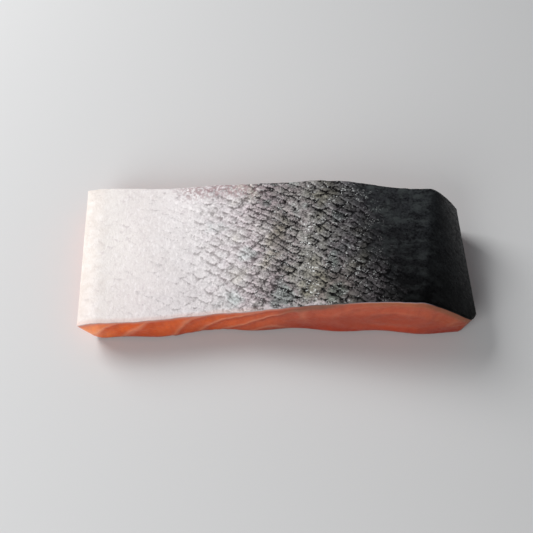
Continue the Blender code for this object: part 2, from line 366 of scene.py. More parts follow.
def scale_in_file(column, row, tip_column, headward):
    """The scale with its tip in a column whose free edge is the next one to the tail, or, with
    headward, the next one to the head."""
    aside = column - tip_column
    leaf_row = row + np.abs(aside) ** LEAF_POWER
    tip_row = np.floor(leaf_row) if headward else np.ceil(leaf_row)
    to_next = (tip_row + tip_column) % 2
    tip_row += -to_next if headward else to_next
    return ScaleAt(tip_column, tip_row, aside, np.abs(tip_row - leaf_row))


def top_scale(column, row, headward=False):
    """The scale that shows at a place. With headward, it is instead the scale above, under whose
    free edge the place comes out."""
    left, right = (scale_in_file(column, row, np.floor(column) + side, headward) for side in (0, 1))
    nearer = right.gap < left.gap
    return ScaleAt(*(np.where(nearer, new, old) for new, old in zip(right, left)))


def per_scale(draw, scale):
    """One random number from 0 to 1 for each scale."""
    shape = (HALF_COLUMNS + SPARE_SCALES[0], SCALE_ROWS + SPARE_SCALES[1])
    table = np.random.default_rng(SEED + draw).uniform(0.0, 1.0, shape)
    return table[scale.column.astype(int) + FIRST_SCALE, scale.row.astype(int) + FIRST_SCALE]


def scale_rise(scale):
    """Height of a scale, from 0 at its hidden root to about 1 at the tip of its free edge."""
    height = between(SCALE_HEIGHT_RANGE, per_scale(HEIGHT_DRAW, scale))
    lean = between(CROWN_LEAN_RANGE, per_scale(LEAN_DRAW, scale))
    crown = np.clip(1.0 + lean * scale.aside - CROWN_FALL * scale.aside**2, 0.0, None)
    return height * crown * np.clip(1.0 - scale.gap / ROWS_TO_ROOT, 0.0, 1.0) ** ROOT_POWER


def crevice_shade_mark(above):
    """How dark the painted shadow is in the crevice under the free edge of the scale above."""
    overhang = per_scale(OVERHANG_DRAW, above)
    width = between(CREVICE_WIDTH_RANGE, overhang)
    shadow = np.exp(-((above.gap * ROW_PITCH / width) ** CREVICE_POWER))
    under_tip = CREVICE_BASE + CREVICE_AT_TIP * hill(above.aside, *CREVICE_TIP)
    under_tip -= CREVICE_LOSS * ease(above.aside / CREVICE_LOSS_RUN)
    return shadow * between(CREVICE_STRENGTH_RANGE, overhang) * under_tip


def scale_marks(shown, above):
    """What the skin's colours follow at each place: the painted crevice shadow, painted light on
    each scale and its rim, the scale's own tone, and painted glints.
    """
    gap = shown.gap * ROW_PITCH
    # Painted light along the scale's free edge, and a painted highlight on it.
    rim = hill(gap, 0.0, RIM_LIGHT_WIDTH) * ease(RIM_LIGHT_END - shown.aside)
    glint = hill(gap, *GLINT_GAP) * hill(shown.aside, *GLINT_ASIDE)
    return {
        "crevice_shade": crevice_shade_mark(above),
        "lit": LIT_MEAN + LIT_RIM * rim - LIT_TILT * shown.aside,
        "tone": per_scale(TONE_DRAW, shown),
        "glint": glint * per_scale(GLINT_DRAW, shown) ** 2,
    }


def scale_pattern(share, head):
    """(height of the scales, their marks) at each place. Over a lip along the free edge of the
    scale that shows, the height drops to that of the scale beyond."""
    column, row = lattice_places(share, head)
    shown = top_scale(column, row)
    beyond = top_scale(column, row + shown.gap + JUST_BEYOND)
    lip = ease(shown.gap * ROW_PITCH / LIP)
    height = between((scale_rise(beyond), scale_rise(shown)), lip)
    return height, scale_marks(shown, top_scale(column, row, headward=True))


def scale_lift(share, head):
    """How far a free edge stands up, in millimetres: most on the flank, which ends sooner headward."""
    share = share + BACK_LEAN * (head - BACK_LEAN_PIVOT) * climb(share, *BACK_LEAN_RUN)
    sides = between(EDGE_SCALE_LIFT, ease(share))
    spread = np.where(share < FLANK_CENTRE, BELLY_SPREAD, BACK_SPREAD)
    return sides + (FLANK_SCALE_LIFT - sides) * hill(share, FLANK_CENTRE, spread)


def flake_phase(point, depth):
    """Counts the sheets of fat passed at each point, which lies at a depth under the skin: a whole
    number lies on a sheet. The sheets slope across the belly, bend to the back just under the
    skin, and close into cones round the middle of the loin."""
    x, y, z = point[..., 0], point[..., 1], point[..., 2]
    bend = SKIN_BEND * np.exp(-depth / SKIN_BEND_DEPTH)
    tilt = between(BELLY_FLAKE_TILT, climb(x, *BELLY_FLAKE_TILT_X))
    belly = np.interp(x - tilt * z - bend, *zip(*BELLY_FLAKES))
    centre_x, centre_z = LOIN_CONE_CENTRE
    loin = LOIN_CONE_SLOPE * np.hypot((x - centre_x) / LOIN_CONE_STRETCH, z - centre_z)
    nearer = -CONE_BLEND * np.log(np.exp(-belly / CONE_BLEND) + np.exp(-loin / CONE_BLEND))
    return (y + nearer) / FLAKE_PITCH


class Shell:
    """Collects the vertices, faces and vertex attributes of one closed mesh."""

    def __init__(self):
        self.points = []
        self.faces = []
        self.extras = {}
        self.count = 0

    def add_points(self, points, **extras):
        """The numbers of some new vertices, laid out as their points are."""
        shape = points.shape[:-1]
        self.points.append(points.reshape(-1, 3))
        for name, values in extras.items():
            self.extras.setdefault(name, []).append(np.broadcast_to(values, shape).ravel())
        index = np.arange(self.count, self.count + math.prod(shape)).reshape(shape)
        self.count += index.size
        return index

    def add_grid(self, index, facing_up=True):
        quads = np.stack([index[:-1, :-1], index[1:, :-1], index[1:, 1:], index[:-1, 1:]], axis=-1)
        quads = quads.reshape(-1, 4)
        self.faces += (quads if facing_up else quads[:, ::-1]).tolist()

    def add_band(self, ring, below):
        quads = np.stack([ring, below, np.roll(below, -1), np.roll(ring, -1)], axis=-1)
        self.faces += quads.tolist()

    def add_cap(self, ring, grid, facing_up):
        """Closes a ring with strips from cut to cut, and one face along each end."""
        tail, head, back, belly = ring_sides(ring, grid)
        self.add_grid(np.stack([tail[1:-1], head[1:-1]], axis=-1), facing_up)
        ends = [[tail[1], head[1], *belly[::-1]], [head[-2], tail[-2], *back]]
        self.faces += [list(map(int, end if facing_up else end[::-1])) for end in ends]


def ring_of(grid):
    """The border of a grid, anticlockwise from the tail-side belly corner."""
    sides = (grid[:-1, 0], grid[-1, :-1], grid[:0:-1, -1], grid[0, :0:-1])
    return np.concatenate(sides)


def ring_sides(ring, grid):
    """The sides of a ring with their corners: its tail-side and head-side cuts, which run from the
    belly to the back, and its back and belly ends, which run from the tail-side cut."""
    columns, rows = grid
    closed = np.concatenate([ring, ring[:1]])
    tail = closed[: columns + 1]
    back = closed[columns : columns + rows + 1]
    head = closed[columns + rows : 2 * columns + rows + 1][::-1]
    belly = closed[2 * columns + rows :][::-1]
    return tail, head, back, belly


def grid_shares(grid):
    """(share, head) at each place of a grid, which is given as its numbers of columns and rows."""
    return np.meshgrid(*(np.linspace(0.0, 1.0, count + 1) for count in grid), indexing="ij")


def slab_edge(share, head):
    """(share, head, skin's edge, foot of the wall below it) round a grid, from its two shares."""
    share, head = ring_of(share), ring_of(head)
    top = skin_points(share, head)
    return share, head, top, foot_points(top, head)


def wall_points(top, foot, depth):
    """Points of the straight walls at a depth under the skin's edge."""
    return top + (foot - top) * (depth / top[:, 2])[:, None]


def scaly_surface(share, head):
    """(points, marks) of the skin with its scales, its swell, its grain and its rounded rim."""
    base = skin_points(share, head)
    height, marks = scale_pattern(share, head)
    lift = scale_lift(share, head) * (height - MIDDLE_HEIGHT)
    swell = between((SWELL_AT_BELLY, 1.0), ease(share / SWELL_FULL_FROM))
    lift += swell * layered_noise(base[..., 0], base[..., 1], SKIN_SWELL)
    lift += layered_noise(base[..., 0], base[..., 1], SKIN_GRAIN)
    rim = from_sides(share, head, SLAB_LENGTH, SLAB_WIDTH) / RIM_WIDTH
    lift -= RIM_DROP * (1.0 - ease(rim))
    return base + skin_normals(share, head) * lift[..., None], marks


def make_skin():
    share, head = grid_shares(SKIN_GRID)
    points, marks = scaly_surface(share, head)
    shell = Shell()
    index = shell.add_points(points, across=share, along=head, depth=0.0, **marks)
    shell.add_grid(index)
    ring = ring_of(index)
    ring_share, ring_head, top, foot = slab_edge(share, head)
    edge_marks = {"across": ring_share, "along": ring_head, **SKIN_EDGE_MARKS}
    for depth in SKIN_EDGE_DEPTHS:
        below = shell.add_points(wall_points(top, foot, depth), depth=depth, **edge_marks)
        shell.add_band(ring, below)
        ring = below
    shell.add_cap(ring, SKIN_GRID, facing_up=False)
    return shell


def wall_levels():
    """(height share of the straight wall, angle of the rounded foot) for each ring, from the top."""
    straight = [(1.0 - step / WALL_LEVELS, 0.0) for step in range(WALL_LEVELS + 1)]
    rounded = [(0.0, 0.5 * math.pi * step / FOOT_LEVELS) for step in range(1, FOOT_LEVELS + 1)]
    return straight + rounded


def wall_relief(point, z, share, depth, height):
    """How far the flesh stands out of (a knife cut, a trimmed edge)."""
    flakes = FLAKE_RELIEF * np.cos(2.0 * math.pi * flake_phase(point, depth))
    bulge = math.sin(math.pi * height)
    fade = bulge * ease(share * WALL_FADE) * ease((1.0 - share) * WALL_FADE)
    trimmed = bulge * layered_noise(point[:, 1], z, TRIMMED_NOISE)
    crag = hill(point[:, 0], *CRAG_X) * np.clip(1.0 - z / CRAG_HEIGHT, 0.0, 1.0)
    cut = (flakes + layered_noise(point[:, 0], z, CUT_NOISE)) * fade
    return cut + crag * layered_noise(point[:, 0], z, CRAG_NOISE), trimmed


def wall_ring(share, head, top, foot, level):
    """(points, depths under the skin) of the flesh's walls at one level."""
    height, angle = level
    rim = top[:, 2] - SKIN_THICKNESS
    z = FOOT_ROUND * (1.0 - math.sin(angle)) + (rim - FOOT_ROUND) * height
    depth = top[:, 2] - z
    point = wall_points(top, foot, depth)
    cut, trimmed = wall_relief(point, z, share, depth, height)
    cut_side = np.where(head == 0.0, -1.0, np.where(head == 1.0, 1.0, 0.0))
    point[:, 0] += np.where(cut_side == 0.0, trimmed, 0.0)
    point[:, 1] += cut_side * cut
    inset = FOOT_ROUND * (1.0 - math.cos(angle))
    middle = top.mean(axis=0)
    point[:, 0] -= (point[:, 0] - middle[0]) * inset / HALF_LENGTH
    point[:, 1] -= (point[:, 1] - middle[1]) * inset / HALF_WIDTH
    point[:, 2] = z
    return point, depth


def spread_inside(ring_points, grid):
    """A grid of points inside a ring, blended from its four sides."""
    tail, head, back, belly = ring_sides(ring_points, grid)
    u, v = (share[..., None] for share in grid_shares(grid))
    sides = tail[:, None] * (1 - v) + head[:, None] * v + belly[None] * (1 - u) + back[None] * u
    tail_corners = (tail[0] * (1 - u) + tail[-1] * u) * (1 - v)
    head_corners = (head[0] * (1 - u) + head[-1] * u) * v
    return sides - tail_corners - head_corners


def add_underside(shell, ring, ring_points, share, head):
    """The face that the fillet rests on, which the sheets of fat press up in low ridges."""
    points = spread_inside(ring_points, FLESH_GRID)
    depth = skin_height(points[..., 0], head)
    phase = flake_phase(points, depth)
    inside = from_sides(share, head, *UNDERSIDE_FADE)
    ridges = (0.5 + 0.5 * np.cos(2.0 * math.pi * phase)) ** UNDERSIDE_RIDGE_POWER
    points[..., 2] += UNDERSIDE_RELIEF * ease(inside) * ridges
    under = ease(UNDERSIDE_MARK_GAIN * inside)
    extras = {"phase": phase, "depth": depth, "side_x": points[..., 0], "under": under}
    inner = (slice(1, -1), slice(1, -1))
    index = np.empty(share.shape, int)
    index[inner] = shell.add_points(points[inner], **{key: part[inner] for key, part in extras.items()})
    index[:, 0], index[:, -1], index[-1], index[0] = ring_sides(ring, FLESH_GRID)
    shell.add_grid(index, facing_up=False)


def make_flesh():
    share, head = grid_shares(FLESH_GRID)
    edge = slab_edge(share, head)
    shell = Shell()
    rings = []
    for level in wall_levels():
        points, depth = wall_ring(*edge, level)
        phase = flake_phase(points, depth)
        rings.append(shell.add_points(points, phase=phase, depth=depth, side_x=points[:, 0], under=0.0))
    for ring, below in zip(rings, rings[1:]):
        shell.add_band(ring, below)
    shell.add_cap(rings[0], FLESH_GRID, facing_up=True)
    add_underside(shell, rings[-1], points, share, head)
    return shell


def link_object(name, data):
    """A new object in the scene."""
    made = bpy.data.objects.new(name, data)
    bpy.context.scene.collection.objects.link(made)
    return made


def make_object(name, shell, shift):
    """A smooth mesh object from a shell, in metres, with its attributes."""
    points = (np.concatenate(shell.points) + shift) * MM
    mesh = bpy.data.meshes.new(name)
    mesh.from_pydata(points.tolist(), [], shell.faces)
    for key, parts in shell.extras.items():
        values = np.concatenate(parts).astype(np.float32)
        mesh.attributes.new(key, "FLOAT", "POINT").data.foreach_set("value", values)
    mesh.shade_smooth()
    mesh.set_sharp_from_angle(angle=math.radians(SHARP_ANGLE))
    mesh.validate()
    return link_object(name, mesh)


def centring_shift(shells):
    """What moves the shells' common box onto the middle and the foot of the solid's box."""
    points = np.concatenate([part for shell in shells for part in shell.points])
    low, high = points.min(axis=0), points.max(axis=0)
    node_low, node_high = (np.array(corner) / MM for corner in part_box("fillet"))
    shift = (node_low + node_high) / 2.0 - (low + high) / 2.0
    shift[2] = node_low[2] - low[2]
    return shift


class Noise(NamedTuple):
    """A noise texture: its hills for each metre, its layers, and the span over which it shows."""

    per_metre: float
    detail: float = 2.0
    roughness: float = 0.5
    stretch: tuple = (1.0, 1.0, 1.0)
    start: float = 0.0
    shows: tuple = (0.0, 1.0)


class Coat(NamedTuple):
    """A colour over a patch of a surface, which noise may break. The blend MIX covers what is under
    it, and MULTIPLY filters it."""

    colour: tuple
    climbs: tuple
    strength: float = 1.0
    breaks: Noise = None
    blend: str = "MIX"


class Graph:
    """A material's node tree, with short calls for the nodes used here. Its fields are the values
    that the looks depend on, by name. Each starts as an attribute of the mesh."""

    def __init__(self, name, attributes=()):
        self.material = bpy.data.materials.new(name)
        self.material.use_nodes = True
        self.nodes = self.material.node_tree.nodes
        self.links = self.material.node_tree.links
        self.shader = self.nodes["Principled BSDF"]
        self.fields = {key: self.attribute(key) for key in attributes}

    def feed(self, socket, value):
        if isinstance(value, bpy.types.NodeSocket):
            self.links.new(value, socket)
        elif socket.type == "RGBA" and len(value) == 3:
            socket.default_value = (*value, 1.0)
        else:
            socket.default_value = value

    def attribute(self, name):
        node = self.nodes.new("ShaderNodeAttribute")
        node.attribute_name = name
        return node.outputs["Fac"]

    def math(self, operation, *values):
        node = self.nodes.new("ShaderNodeMath")
        node.operation = operation
        for socket, value in zip(node.inputs, values):
            self.feed(socket, value)
        return node.outputs[0]

    def minus(self, one, two):
        return self.math("SUBTRACT", one, two)

    def plus(self, base, value, gain=1.0):
        """The base and a value times its gain."""
        return self.math("MULTIPLY_ADD", value, gain, base)

    def product(self, *values):
        result = values[0]
        for value in values[1:]:
            result = self.math("MULTIPLY", result, value)
        return result

    def between(self, pair, share):
        return self.plus(pair[0], share, pair[1] - pair[0])

    def span(self, value, low, high, to_low=0.0, to_high=1.0):
        """A smooth climb from one value to another."""
        node = self.nodes.new("ShaderNodeMapRange")
        node.interpolation_type = "SMOOTHSTEP"
        for socket, number in zip(node.inputs, (value, low, high, to_low, to_high)):
            self.feed(socket, number)
        return node.outputs[0]

    def patch(self, climbs):
        """The product of smooth climbs, each given as a field's name and a span."""
        return self.product(*(self.span(self.fields[name], *ends) for name, *ends in climbs))

    def mix(self, factor, one, two, blend="MIX"):
        node = self.nodes.new("ShaderNodeMix")
        node.data_type = "RGBA"
        node.blend_type = blend
        self.feed(node.inputs["Factor"], factor)
        colours = [socket for socket in (*node.inputs, *node.outputs) if socket.type == "RGBA"]
        self.feed(colours[0], one)
        self.feed(colours[1], two)
        return colours[2]

    def cover(self, colour, over, *factors):
        """A colour with another over it, as strong as the product of the factors."""
        return self.mix(self.product(*factors), colour, over)

    def tint(self, colour, filtered, *factors):
        """A colour seen through a filter, as strong as the product of the factors."""
        return self.mix(self.product(*factors), colour, filtered, "MULTIPLY")

    def lay(self, colour, *coats):
        """A colour with some coats on it, one over the other."""
        for coat in coats:
            factor = self.product(self.patch(coat.climbs), coat.strength)
            if coat.breaks:
                factor = self.product(factor, self.specks(coat.breaks))
            colour = self.mix(factor, colour, coat.colour, coat.blend)
        return colour

    def ramp(self, value, stops):
        node = self.nodes.new("ShaderNodeValToRGB")
        elements = node.color_ramp.elements
        while len(elements) < len(stops):
            elements.new(0.5)
        for element, (position, colour) in zip(elements, stops):
            element.position = position
            element.color = (*colour, 1.0)
        self.feed(node.inputs[0], value)
        return node.outputs[0]

    def position(self, stretch=(1.0, 1.0, 1.0), start=0.0):
        """The place on the object, in metres."""
        coordinates = self.nodes.new("ShaderNodeTexCoord")
        mapping = self.nodes.new("ShaderNodeMapping")
        mapping.inputs["Scale"].default_value = stretch
        mapping.inputs["Location"].default_value = (start, start, 0.0)
        self.links.new(coordinates.outputs["Object"], mapping.inputs["Vector"])
        return mapping.outputs[0]

    def noise(self, grain):
        node = self.nodes.new("ShaderNodeTexNoise")
        node.inputs["Scale"].default_value = grain.per_metre
        node.inputs["Detail"].default_value = grain.detail
        node.inputs["Roughness"].default_value = grain.roughness
        self.links.new(self.position(grain.stretch, grain.start), node.inputs["Vector"])
        return node.outputs["Fac"]

    def waver(self, grain):
        """Noise with its middle at 0."""
        return self.minus(self.noise(grain), 0.5)

    def specks(self, grain):
        """Noise as far as it shows."""
        return self.span(self.noise(grain), *grain.shows)

    def fix(self, constants):
        """Gives the shader the values that are the same all over."""
        for key, value in constants.items():
            self.shader.inputs[key].default_value = value

    def finish(self, colour, roughness, bumps, bump_height, bump_strength, constants):
        node = self.nodes.new("ShaderNodeBump")
        node.inputs["Strength"].default_value = bump_strength
        node.inputs["Distance"].default_value = bump_height
        self.feed(node.inputs["Height"], self.noise(bumps))
        self.feed(self.shader.inputs["Base Color"], colour)
        self.feed(self.shader.inputs["Roughness"], self.specks(roughness))
        self.feed(self.shader.inputs["Normal"], node.outputs[0])
        self.fix(constants)
        return self.material


def srgb(red, green, blue):
    """A colour given on the 0 to 255 screen scale, as the linear one that a shader takes."""
    return tuple(
        c / 12.92 if c <= 0.04045 else ((c + 0.055) / 1.055) ** 2.4
        for c in (red / 255.0, green / 255.0, blue / 255.0)
    )


# The skin's tones from the belly to the back: light ones for its lit faces, dark ones for its
# mottling and its painted crevice shade, and those of its cut edge.
SKIN_LIGHT_AND_LIT = (
    (0.00, srgb(217, 207, 200)),
    (0.055, srgb(235, 229, 225)),
    (0.12, srgb(232, 225, 223)),
    (0.23, srgb(229, 224, 224)),
    (0.30, srgb(221, 216, 217)),
    (0.366, srgb(204, 198, 198)),
    (0.43, srgb(155, 148, 148)),
    (0.50, srgb(170, 168, 164)),
    (0.585, srgb(116, 114, 115)),
    (0.65, srgb(64, 63, 64)),
    (0.71, srgb(26, 26, 27)),
    (0.86, srgb(25, 26, 27)),
    (1.00, srgb(17, 18, 19)),
)
SKIN_DARK_AND_SHADED = (
    (0.00, srgb(208, 199, 192)),
    (0.05, srgb(221, 213, 211)),
    (0.17, srgb(200, 194, 194)),
    (0.235, srgb(180, 174, 174)),
    (0.30, srgb(142, 136, 136)),
    (0.366, srgb(78, 73, 73)),
    (0.44, srgb(24, 22, 22)),
    (0.585, srgb(11, 10, 11)),
    (0.74, srgb(6, 6, 7)),
    (1.00, srgb(4, 4, 5)),
)
SKIN_CUT_TONES = (
    (0.00, srgb(214, 200, 196)),
    (0.40, srgb(206, 194, 194)),
    (0.47, srgb(118, 106, 102)),
    (0.58, srgb(112, 100, 98)),
    (0.64, srgb(166, 148, 156)),
    (0.77, srgb(150, 132, 140)),
    (0.82, srgb(16, 15, 17)),
)

# The place where a tone is looked up strays from the true one by two noises, by each scale's own
# tone, little near the belly edge, and by a shift in each fair patch of the flank.
TONE_WANDER = Noise(55.0, detail=3.0, start=0.05)
TONE_WANDER_REACH = 0.065
TONE_RAGGEDNESS = Noise(420.0)
TONE_RAGGED_REACH = 0.07
OWN_TONE_REACH = (0.06, 0.22, 0.008, 0.04)
FAIR_MIDDLE = (
    ("across", 0.28, 0.37), ("across", 0.44, 0.39), ("along", 0.12, 0.40), ("along", 0.88, 0.60),
)
FAIR_HEADWARD = (("across", 0.28, 0.32), ("across", 0.385, 0.345), ("along", 0.66, 0.82))
FAIR_SHIFTS = ((FAIR_MIDDLE, -0.035), (FAIR_HEADWARD, -0.025))

# Patches of the skin, by the climbs of their fields. A climb that is given from its high end to its
# low one lets the patch die away. Across and place are shares of the way from the belly edge to the
# back, and along is a share from the tail-side cut to the head-side cut.
LATERAL_LINE = (("wavy", 0.482, 0.502), ("wavy", 0.537, 0.512))
LATERAL_WANDER = 0.04
CALM_BELLY = (("place", 0.41, 0.11),)
SCALY_FLANK = (("place", 0.735, 0.665, 0.12, 1.0),)
DARK_BACK = (("place", 0.58, 0.74),)
HUED_FLANK = (("place", 0.24, 0.38), ("place", 0.80, 0.60))
CLOUDED_BACK = (("place", 0.64, 0.72), ("place", 0.95, 0.80, 0.4, 1.0))
SPARKLED_FLANK = (("across", 0.20, 0.34), ("across", 0.74, 0.58))
DABBED_BELLY = (("across", 0.02, 0.10), ("across", 0.36, 0.26))
SKIN_CUT = (("depth", 0.15, 0.4),)

# How light a place of the skin is: painted light and shade of the scales, the gains of two noises on
# the flank and on the calm belly, the scale's own tone, and what the lateral line takes from the
# scales' painted relief shading and adds to their lightness.
MOTTLE = Noise(1100.0, detail=3.0, roughness=0.75)
MOTTLE_GAIN = (3.1, 1.5)
SHADING = Noise(230.0)
SHADING_GAIN = (0.9, 0.4)
OWN_TONE_GAIN = 0.3
LATERAL_FLATNESS = 0.7
LATERAL_LIGHT = 0.07

# How dark the painted crevice shadows are: their noise, what the calm belly takes from it, and what
# it takes from the crevices between their clusters.
CREVICE_DEPTH = Noise(430.0, shows=(0.36, 0.60, 0.3, 1.8))
CREVICE_CLUSTERS = Noise(120.0, shows=(0.44, 0.60))
CALM_SHALLOWNESS = 0.5
CALM_SPARSENESS = 0.75

# Colours of the back and the flank. The back gets painted shade at the tail-side cut and a grey
# painted sheen at the other.
BACK_SHADE_AND_SHEEN = ((0.12, 0.12, 0.12), (3.5, 3.6, 3.7))
HUE_NOISE = Noise(75.0)
HUES = (
    (0.32, (1.0, 0.98, 0.84)),
    (0.44, (1.0, 0.99, 0.98)),
    (0.54, (1.0, 0.92, 0.955)),
    (0.66, (0.88, 1.0, 0.985)),
)
OLIVE_PATCH = (("across", 0.47, 0.53), ("across", 0.66, 0.58), ("along", 0.42, 0.12))
OLIVE_END = Coat((0.86, 0.83, 0.76), OLIVE_PATCH, blend="MULTIPLY")
CLOUDS = Noise(230.0, detail=4.0, roughness=0.66, stretch=(0.75, 1.35, 1.0), shows=(0.46, 0.68))
CLOUD_STRENGTH = (0.1, 0.9)
CLOUD_COLOUR = srgb(61, 65, 65)

# Painted highlights: bright sparkles of wet and glints of the scales' edges.
WET_SPARKLES = Noise(1500.0, detail=1.0, shows=(0.60, 0.67))
SPARKLE_CLUSTERS = Noise(300.0, detail=1.0, shows=(0.48, 0.60))
GLINT_BREAKS = Noise(500.0, detail=1.0, shows=(0.54, 0.64))
LATERAL_SPARKLES = 0.02
LATERAL_BRIGHTNESS = 0.4
FLANK_BRIGHTNESS = 0.55
SPARKLE_COLOUR = srgb(222, 224, 222)

# Coats of the skin: its pale torn rim at the tail-side cut, with painted glints of light, pearly
# dabs of painted highlight and dull dabs on the belly, which is a little duller to the tail, and the
# rosy rims of the belly at the two cuts.
# A pale rim, broken by noise, with painted glints of light along the torn edge.
TORN_RIM_GLINTS = Coat(
    srgb(206, 196, 198),
    (("along", 0.05, 0.012), ("across", 0.26, 0.32), ("across", 0.62, 0.50)),
    strength=0.75,
    breaks=Noise(420.0, detail=3.0, roughness=0.6, shows=(0.46, 0.60)),
)
# Small pearly dabs of painted highlight on the belly's scales.
PEARLY_HIGHLIGHTS = Noise(900.0, detail=1.0, stretch=(1.0, 0.5, 1.0), shows=(0.56, 0.72, 0.0, 0.6))
DULL = PEARLY_HIGHLIGHTS._replace(shows=(0.42, 0.30, 0.0, 0.6))
PEARLY_HIGHLIGHT_DABS = Coat(srgb(246, 240, 240), DABBED_BELLY, breaks=PEARLY_HIGHLIGHTS)
DULL_DABS = Coat((0.90, 0.87, 0.89), DABBED_BELLY, breaks=DULL, blend="MULTIPLY")
TAILWARD_PATCH = (("along", 0.5, 0.0), ("across", 0.34, 0.20))
TAILWARD_BELLY = Coat((0.95, 0.935, 0.94), TAILWARD_PATCH, blend="MULTIPLY")
TAIL_RIM = Coat(srgb(226, 190, 180), (("along", 0.035, 0.0), ("across", 0.42, 0.30)), strength=0.5)
HEAD_RIM = Coat(
    srgb(158, 132, 134),
    (("along", 0.84, 0.96), ("across", 0.17, 0.24), ("across", 0.42, 0.34)),
    strength=0.8,
    breaks=Noise(800.0, roughness=0.6, shows=(0.42, 0.58)),
)

SKIN_FINISH = {
    "roughness": Noise(700.0, shows=(0.3, 0.7, 0.26, 0.5)),
    "bumps": Noise(1300.0, roughness=0.6),
    "bump_height": 0.0002,
    "bump_strength": 0.6,
    "constants": {"Specular IOR Level": 0.075},
}


def tone_place(graph, wander):
    """The place by which the skin's tones are looked up, which strays from the true one."""
    across, along = graph.fields["across"], graph.fields["along"]
    place = graph.plus(across, wander, TONE_WANDER_REACH)
    place = graph.plus(place, graph.waver(TONE_RAGGEDNESS), TONE_RAGGED_REACH)
    place = graph.plus(place, graph.minus(graph.fields["tone"], 0.5), graph.span(across, *OWN_TONE_REACH))
    leaning = graph.product(graph.minus(along, BACK_LEAN_PIVOT), graph.span(across, *BACK_LEAN_RUN))
    place = graph.plus(place, leaning, BACK_LEAN)
    for climbs, shift in FAIR_SHIFTS:
        place = graph.plus(place, graph.patch(climbs), shift)
    return place


def crevice_shade_darkness(graph, scaly):
    """The painted crevice shadow is dark by patches, and on the calm belly shallow and only in clusters.
    """
    calm = graph.fields["calm"]
    deep = graph.plus(graph.specks(CREVICE_DEPTH), calm, -CALM_SHALLOWNESS)
    deep = graph.math("MAXIMUM", deep, 0.0)
    bare = graph.minus(graph.specks(CREVICE_CLUSTERS), 1.0)
    clustered = graph.plus(1.0, bare, graph.product(calm, CALM_SPARSENESS))
    return graph.product(graph.fields["crevice_shade"], scaly, deep, clustered)


def scale_lightness(graph):
    """How light each place of the skin is, between its dark and its light tone: painted light and
    shade of the scales, noise and each scale's own tone, less the painted crevice shadow.
    """
    lateral, calm = graph.fields["lateral"], graph.fields["calm"]
    scaly = graph.plus(graph.patch(SCALY_FLANK), lateral, -LATERAL_FLATNESS)
    lit = graph.plus(LIT_MEAN, graph.minus(graph.fields["lit"], LIT_MEAN), scaly)
    lit = graph.plus(lit, lateral, LATERAL_LIGHT)
    lit = graph.plus(lit, graph.minus(1.0, lit), calm)
    lightness = graph.plus(lit, graph.waver(MOTTLE), graph.between(MOTTLE_GAIN, calm))
    lightness = graph.plus(lightness, graph.waver(SHADING), graph.between(SHADING_GAIN, calm))
    lightness = graph.plus(lightness, graph.minus(graph.fields["tone"], 0.5), OWN_TONE_GAIN)
    return graph.minus(lightness, crevice_shade_darkness(graph, scaly))


def paint_back_and_flank(graph, colour):
    """The back has painted shade at the tail-side cut and a grey painted sheen to the head, the flank
    has soft hues, and pale clouds lie on the back.
    """
    along = graph.fields["along"]
    colour = graph.tint(colour, graph.mix(along, *BACK_SHADE_AND_SHEEN), graph.patch(DARK_BACK))
    colour = graph.tint(colour, graph.ramp(graph.noise(HUE_NOISE), HUES), graph.patch(HUED_FLANK))
    colour = graph.lay(colour, OLIVE_END)
    clouds = (graph.specks(CLOUDS), graph.patch(CLOUDED_BACK), graph.between(CLOUD_STRENGTH, along))
    return graph.cover(colour, CLOUD_COLOUR, *clouds)


def paint_sparkles(graph, colour):
    """Painted highlights: bright sparkles of wet on the flank, most along the lateral line, and
    glints on free edges.
    """
    lateral = graph.fields["lateral"]
    sparkles = graph.span(graph.plus(graph.noise(WET_SPARKLES), lateral, LATERAL_SPARKLES), *WET_SPARKLES.shows)
    sparkles = graph.product(sparkles, graph.specks(SPARKLE_CLUSTERS))
    glints = graph.product(graph.fields["glint"], graph.specks(GLINT_BREAKS))
    bright = graph.product(lateral, LATERAL_BRIGHTNESS)
    bright = graph.plus(bright, graph.patch(SPARKLED_FLANK), FLANK_BRIGHTNESS)
    return graph.cover(colour, SPARKLE_COLOUR, graph.math("MAXIMUM", sparkles, glints), bright)


def skin_material():
    graph = Graph("wet_scaly_skin", ("across", "along", "depth", "crevice_shade", "lit", "tone", "glint"))
    fields = graph.fields
    wander = graph.waver(TONE_WANDER)
    fields["place"] = tone_place(graph, wander)
    fields["wavy"] = graph.plus(fields["across"], wander, LATERAL_WANDER)
    fields["lateral"] = graph.patch(LATERAL_LINE)
    fields["calm"] = graph.patch(CALM_BELLY)
    dark, light = graph.ramp(fields["place"], SKIN_DARK_AND_SHADED), graph.ramp(fields["place"], SKIN_LIGHT_AND_LIT)
    # Painted light and shade of the scales, with their mottling, mix the dark and the light tones.
    colour = graph.mix(scale_lightness(graph), dark, light)
    colour = paint_back_and_flank(graph, colour)
    colour = paint_sparkles(graph, colour)
    colour = graph.lay(colour, TORN_RIM_GLINTS, PEARLY_HIGHLIGHT_DABS, DULL_DABS, TAILWARD_BELLY, TAIL_RIM, HEAD_RIM)
    colour = graph.cover(colour, graph.ramp(fields["across"], SKIN_CUT_TONES), graph.patch(SKIN_CUT))
    return graph.finish(colour, **SKIN_FINISH)


# The flesh's tones from the belly end, from where they start, to the back.
FLESH_START_X = -76.0
FLESH_TONES = (
    (0.00, (1.0, 0.34, 0.125)),
    (0.045, (1.0, 0.29, 0.095)),
    (0.09, (0.80, 0.135, 0.018)),
    (0.35, (0.70, 0.13, 0.036)),
    (0.55, (0.51, 0.103, 0.052)),
    (0.80, (0.54, 0.110, 0.052)),
    (1.00, (0.34, 0.066, 0.025)),
)
FLESH_WOBBLE = Noise(140.0, detail=3.0)
TONE_WOBBLE = 0.1
PHASE_WOBBLE = 0.14

